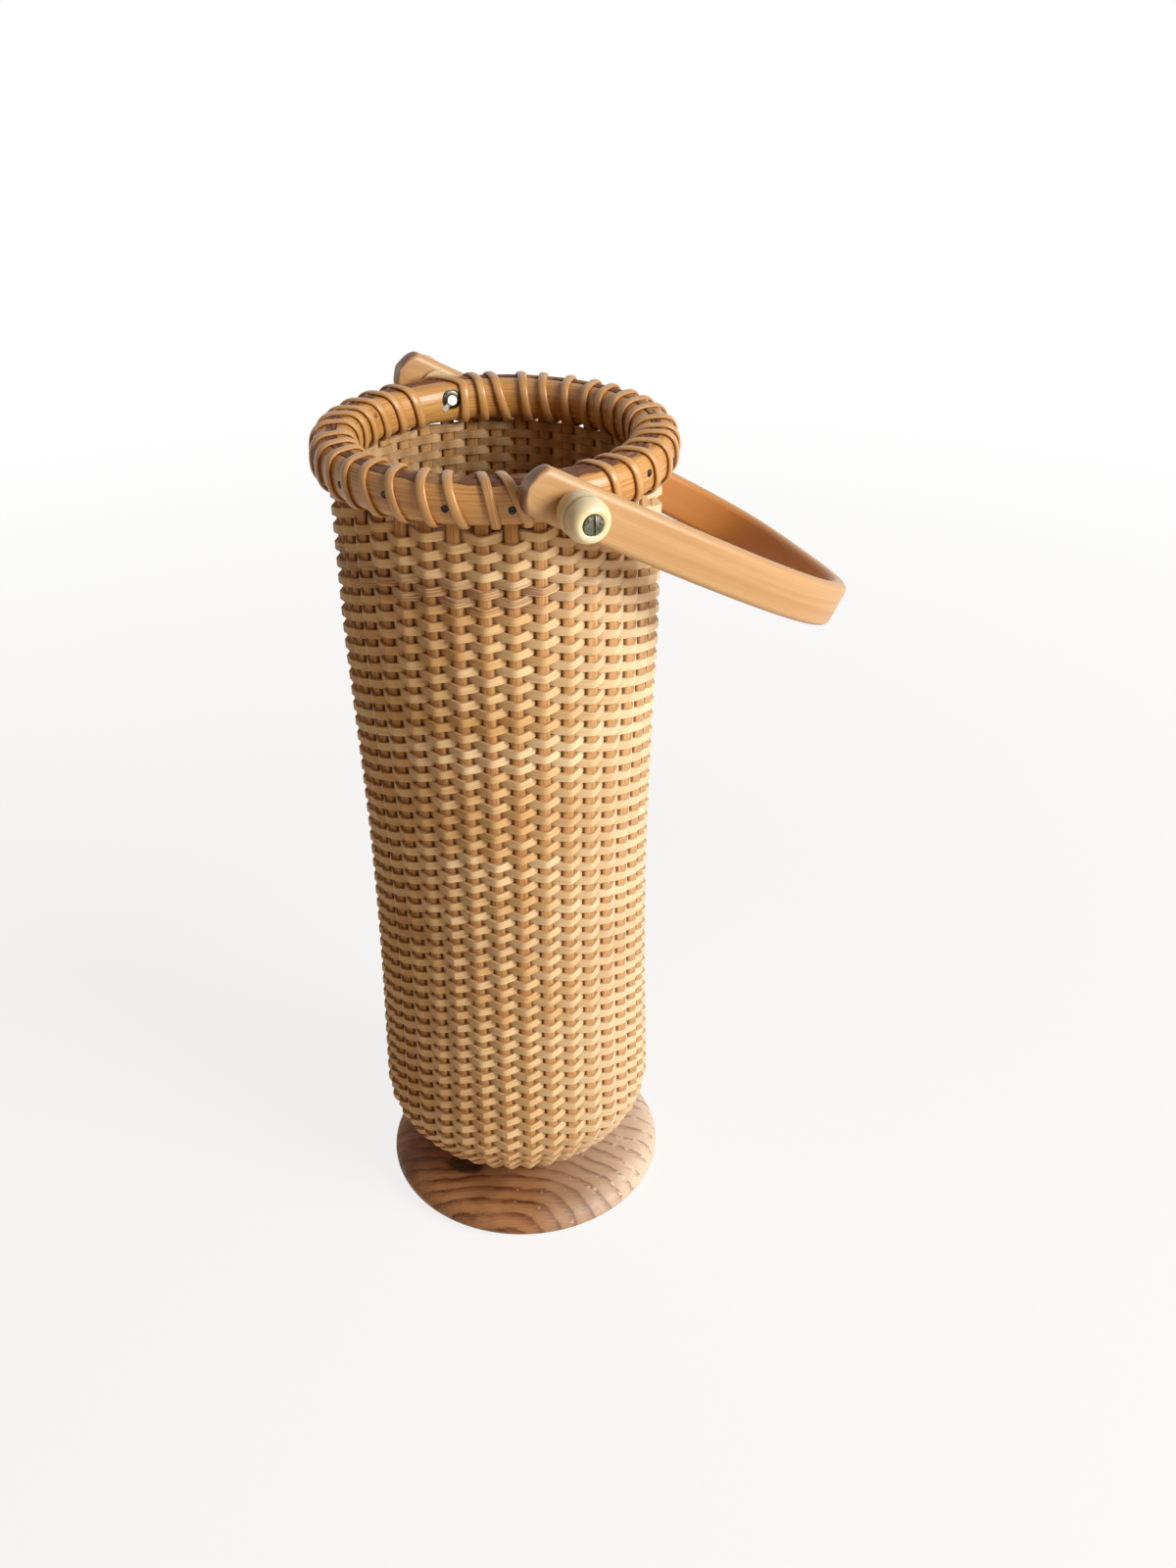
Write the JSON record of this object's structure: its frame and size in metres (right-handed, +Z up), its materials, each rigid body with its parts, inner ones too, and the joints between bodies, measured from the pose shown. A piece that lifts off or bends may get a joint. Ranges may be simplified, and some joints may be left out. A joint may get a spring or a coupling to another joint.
{
  "type": "wine bottle basket",
  "caption": "Tall round woven basket for carrying one bottle upright, on a turned wooden foot, with a lashed double rim and a bent-wood swing handle on bone-knobbed pivots.",
  "frame": {"origin": "on the basket's axis at the floor, on the underside of the foot", "axes": "+Z up along the basket; Y along the handle's pivots, front knob at -Y; the handle rests swung out towards +X"},
  "size_m": [0.1757, 0.1654, 0.3119],
  "materials": {
    "turned_pine": "turned softwood, strong brown growth rings, thin oil finish",
    "plug_wood": "plain turned wood",
    "reed": "flat reed, fine lengthwise grain, satin",
    "woven_cane": "pale cane weave with some darker stained rows, satin",
    "hoop_rattan": "half-round rattan, straight grain, satin varnish",
    "cap_strip": "dark red-brown bark strip, rough",
    "lashing_cane": "glossy cane skin",
    "bent_wood": "steam-bent pale wood, satin varnish",
    "bone": "polished cream bone with an amber groove",
    "dark_steel": "aged slotted screw, dull brown-grey",
    "bright_steel": "sawn bright end",
    "nail_steel": "blackened nail head"
  },
  "bodies": {
    "basket": {"foot_disc": "turned_pine", "base_plug": "plug_wood", "foot_screw_1": "dark_steel", "foot_screw_2": "dark_steel", "stave_01": "reed", "stave_02": "reed", "stave_03": "reed", "stave_04": "reed", "stave_05": "reed", "stave_06": "reed", "stave_07": "reed", "stave_08": "reed", "stave_09": "reed", "stave_10": "reed", "stave_11": "reed", "stave_12": "reed", "stave_13": "reed", "stave_14": "reed", "stave_15": "reed", "stave_16": "reed", "stave_17": "reed", "stave_18": "reed", "stave_19": "reed", "stave_20": "reed", "stave_21": "reed", "stave_22": "reed", "stave_23": "reed", "stave_24": "reed", "stave_25": "reed", "stave_26": "reed", "stave_27": "reed", "stave_28": "reed", "stave_29": "reed", "stave_30": "reed", "stave_31": "reed", "stave_32": "reed", "stave_33": "reed", "stave_34": "reed", "stave_35": "reed", "stave_36": "reed", "stave_37": "reed", "woven_wall": "woven_cane", "outer_rim_hoop": "hoop_rattan", "inner_rim_hoop": "hoop_rattan", "rim_cap_strip": "cap_strip", "rim_lashing": "lashing_cane", "rim_nail_1": "nail_steel", "rim_nail_2": "nail_steel", "rim_nail_3": "nail_steel", "rim_nail_4": "nail_steel", "rim_nail_5": "nail_steel", "front_washer": "bone", "front_knob": "bone", "front_pivot_screw": "dark_steel", "front_burr": "bright_steel", "back_washer": "bone", "back_knob": "bone", "back_pivot_screw": "dark_steel", "back_burr": "bright_steel"},
    "handle": {"bail_handle": "bent_wood"}
  },
  "joints": [
    {"name": "handle_swing", "type": "hinge", "parent": "basket", "child": "handle", "pos_m": [0, 0, 0.2998], "axis": [0, 1, 0], "range_deg": [-271, 32]}
  ]
}
